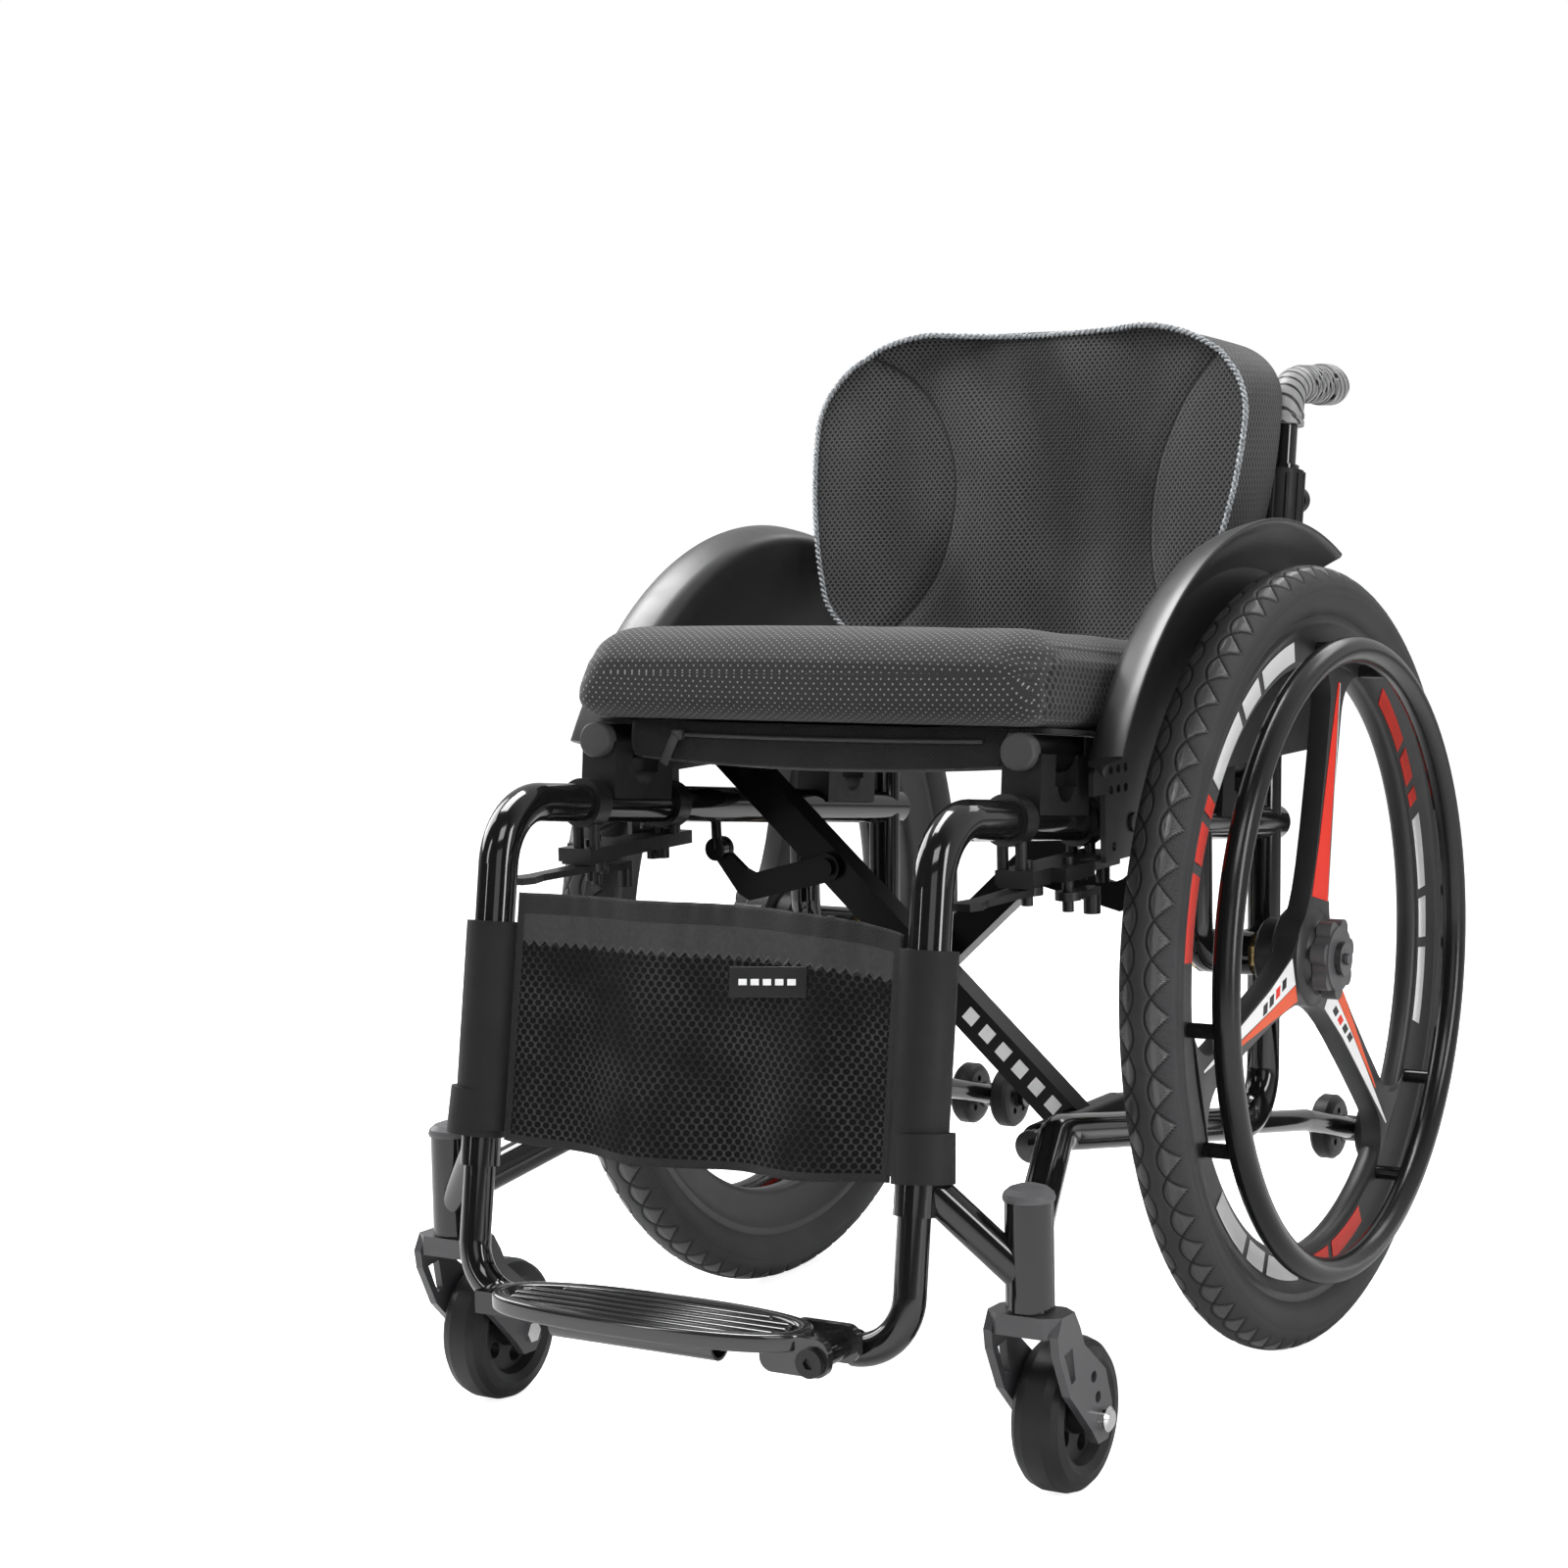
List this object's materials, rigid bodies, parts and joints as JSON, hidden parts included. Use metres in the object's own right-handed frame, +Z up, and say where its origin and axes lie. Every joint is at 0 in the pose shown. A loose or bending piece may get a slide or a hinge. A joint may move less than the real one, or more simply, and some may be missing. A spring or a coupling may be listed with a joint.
{
  "type": "folding sports wheelchair",
  "caption": "Folding tube-frame sports wheelchair with spoked rear wheels and hand rims, swivel casters, crossed braces, cushioned seat, padded back, flip-up footplate and sliding push handles.",
  "frame": {"origin": "on the floor, below the centre of the bounding box", "axes": "+Z up, -Y the way the sitter faces, +X to the sitter's left side"},
  "size_m": [0.57, 0.905, 0.788],
  "materials": {
    "frame_black": "gloss black paint",
    "brace_black": "gloss black paint",
    "guard_black": "satin moulded",
    "saddle_black": "matte moulded",
    "sleeve_black": "matte",
    "nut_brass": "passivated",
    "cap_grey": "satin",
    "tyre_black": "moulded tread",
    "mag_black": "satin black with bare colour panels",
    "rim_black": "satin anodised black",
    "knob_black": "satin",
    "axle_steel": "bright",
    "bolt_chrome": "bright",
    "caster_rubber": "matte",
    "steel_black": "black oxide",
    "grip_grey": "ribbed matte",
    "plate_black": "gloss ribbed",
    "sling_black": "woven",
    "cushion_knit": "dotted knit",
    "pad_mesh": "spacer mesh",
    "pouch_net": "net"
  },
  "bodies": {
    "left_frame": {"left_side_frame": "frame_black", "left_saddles": "saddle_black", "left_mudguard": "guard_black", "left_post_clamp": "saddle_black", "left_brake_mount": "steel_black", "left_footrest_tube": "frame_black", "left_front_sleeve": "sleeve_black", "left_axle_mount": "nut_brass", "left_antitip_tube": "frame_black", "left_caster_cap": "cap_grey", "back_pad": "pad_mesh", "calf_pouch": "pouch_net", "footplate_bolt": "steel_black"},
    "right_frame": {"right_side_frame": "frame_black", "right_saddles": "saddle_black", "right_mudguard": "guard_black", "right_post_clamp": "saddle_black", "right_brake_mount": "steel_black", "right_footrest_tube": "frame_black", "right_front_sleeve": "sleeve_black", "right_axle_mount": "nut_brass", "right_antitip_tube": "frame_black", "right_caster_cap": "cap_grey"},
    "brace_a": {"brace_a": "brace_black", "brace_pivot": "axle_steel"},
    "brace_b": {"brace_b": "brace_black"},
    "seat": {"seat_sling": "sling_black", "seat_cushion": "cushion_knit"},
    "footplate": {"footplate": "plate_black"},
    "left_fold_link": {"left_fold_link": "brace_black"},
    "left_wheel": {"left_tyre": "tyre_black", "left_mag_wheel": "mag_black", "left_hand_rim": "rim_black", "left_hub_knob": "knob_black", "left_axle": "axle_steel"},
    "left_button": {"left_axle_button": "knob_black"},
    "left_caster": {"left_caster_fork": "frame_black", "left_caster_axle": "bolt_chrome"},
    "left_caster_roll": {"left_caster_wheel": "caster_rubber"},
    "left_brake_lever": {"left_brake_lever": "steel_black"},
    "left_brake_shoe": {"left_brake_shoe": "steel_black"},
    "left_handle": {"left_handle_post": "frame_black", "left_push_grip": "grip_grey"},
    "left_antitip": {"left_antitip_wheels": "caster_rubber"},
    "right_fold_link": {"right_fold_link": "brace_black"},
    "right_wheel": {"right_tyre": "tyre_black", "right_mag_wheel": "mag_black", "right_hand_rim": "rim_black", "right_hub_knob": "knob_black", "right_axle": "axle_steel"},
    "right_button": {"right_axle_button": "knob_black"},
    "right_caster": {"right_caster_fork": "frame_black", "right_caster_axle": "bolt_chrome"},
    "right_caster_roll": {"right_caster_wheel": "caster_rubber"},
    "right_brake_lever": {"right_brake_lever": "steel_black"},
    "right_brake_shoe": {"right_brake_shoe": "steel_black"},
    "right_handle": {"right_handle_post": "frame_black", "right_push_grip": "grip_grey"},
    "right_antitip": {"right_antitip_wheels": "caster_rubber"}
  },
  "joints": [
    {"name": "fold", "type": "hinge", "parent": "left_frame", "child": "brace_a", "pos_m": [0.128, -0.0055, 0.19], "axis": [0, 1, 0], "range_deg": [0, 36], "deforming": ["seat_sling", "seat_cushion", "back_pad", "calf_pouch"]},
    {"name": "brace_cross", "type": "hinge", "parent": "brace_a", "child": "brace_b", "pos_m": [0, -0.0055, 0.30672], "axis": [0, 1, 0], "range_deg": [-72, 0]},
    {"name": "right_frame_shift", "type": "hinge", "parent": "brace_b", "child": "right_frame", "pos_m": [-0.128, -0.0055, 0.19], "axis": [0, 1, 0], "range_deg": [0, 36]},
    {"name": "seat_level", "type": "hinge", "parent": "brace_a", "child": "seat", "pos_m": [-0.174, -0.0055, 0.46538], "axis": [0, 1, 0], "range_deg": [-36, 0]},
    {"name": "left_link_turn", "type": "hinge", "parent": "left_frame", "child": "left_fold_link", "pos_m": [0.172, 0.021, 0.387], "axis": [0, 1, 0], "range_deg": [0, 62]},
    {"name": "right_link_turn", "type": "hinge", "parent": "right_frame", "child": "right_fold_link", "pos_m": [-0.172, -0.032, 0.387], "axis": [0, 1, 0], "range_deg": [-62, 0]},
    {"name": "footplate_flip", "type": "hinge", "parent": "left_frame", "child": "footplate", "pos_m": [0.139, -0.4155, 0.117], "axis": [0, 1, 0], "range_deg": [0, 90]},
    {"name": "left_wheel_spin", "type": "hinge", "parent": "left_frame", "child": "left_wheel", "pos_m": [0.237, 0.1525, 0.3], "axis": [1, 0, 0], "continuous": true},
    {"name": "left_button_press", "type": "slide", "parent": "left_wheel", "child": "left_button", "axis": [-1, 0, 0], "range_m": [0, 0.003], "stiffness_N_per_m": 250},
    {"name": "left_caster_swivel", "type": "hinge", "parent": "left_frame", "child": "left_caster", "pos_m": [0.233, -0.3075, 0.16], "axis": [0, 0, 1], "continuous": true},
    {"name": "left_caster_spin", "type": "hinge", "parent": "left_caster", "child": "left_caster_roll", "pos_m": [0.233, -0.2585, 0.052], "axis": [1, 0, 0], "continuous": true},
    {"name": "left_brake_turn", "type": "hinge", "parent": "left_frame", "child": "left_brake_lever", "pos_m": [0.18, -0.1995, 0.391], "axis": [0, 0, 1], "range_deg": [0, 70]},
    {"name": "left_shoe_turn", "type": "hinge", "parent": "left_frame", "child": "left_brake_shoe", "pos_m": [0.196, -0.1695, 0.385], "axis": [0, 0, 1], "range_deg": [-40, 0]},
    {"name": "left_handle_lift", "type": "slide", "parent": "left_frame", "child": "left_handle", "axis": [-0.002, 0.1796, 0.9837], "range_m": [0, 0.085]},
    {"name": "left_antitip_spin", "type": "hinge", "parent": "left_frame", "child": "left_antitip", "pos_m": [0.174, 0.4175, 0.11], "axis": [1, 0, 0], "continuous": true},
    {"name": "right_wheel_spin", "type": "hinge", "parent": "right_frame", "child": "right_wheel", "pos_m": [-0.237, 0.1525, 0.3], "axis": [1, 0, 0], "continuous": true},
    {"name": "right_button_press", "type": "slide", "parent": "right_wheel", "child": "right_button", "axis": [1, 0, 0], "range_m": [0, 0.003], "stiffness_N_per_m": 250},
    {"name": "right_caster_swivel", "type": "hinge", "parent": "right_frame", "child": "right_caster", "pos_m": [-0.233, -0.3075, 0.16], "axis": [0, 0, 1], "continuous": true},
    {"name": "right_caster_spin", "type": "hinge", "parent": "right_caster", "child": "right_caster_roll", "pos_m": [-0.233, -0.2585, 0.052], "axis": [1, 0, 0], "continuous": true},
    {"name": "right_brake_turn", "type": "hinge", "parent": "right_frame", "child": "right_brake_lever", "pos_m": [-0.18, -0.1995, 0.391], "axis": [0, 0, 1], "range_deg": [-70, 0]},
    {"name": "right_shoe_turn", "type": "hinge", "parent": "right_frame", "child": "right_brake_shoe", "pos_m": [-0.196, -0.1695, 0.385], "axis": [0, 0, 1], "range_deg": [0, 40]},
    {"name": "right_handle_lift", "type": "slide", "parent": "right_frame", "child": "right_handle", "axis": [0.002, 0.1796, 0.9837], "range_m": [0, 0.085]},
    {"name": "right_antitip_spin", "type": "hinge", "parent": "right_frame", "child": "right_antitip", "pos_m": [-0.174, 0.4175, 0.11], "axis": [1, 0, 0], "continuous": true}
  ],
  "couplings": [
    {"joint": "brace_cross", "follows": "fold", "ratio": -2},
    {"joint": "right_frame_shift", "follows": "fold", "ratio": 1},
    {"joint": "seat_level", "follows": "fold", "ratio": -1},
    {"joint": "left_link_turn", "follows": "fold", "ratio": 1.7},
    {"joint": "right_link_turn", "follows": "fold", "ratio": -1.7},
    {"joint": "left_shoe_turn", "follows": "left_brake_turn", "ratio": -0.5714},
    {"joint": "right_shoe_turn", "follows": "right_brake_turn", "ratio": -0.5714}
  ]
}
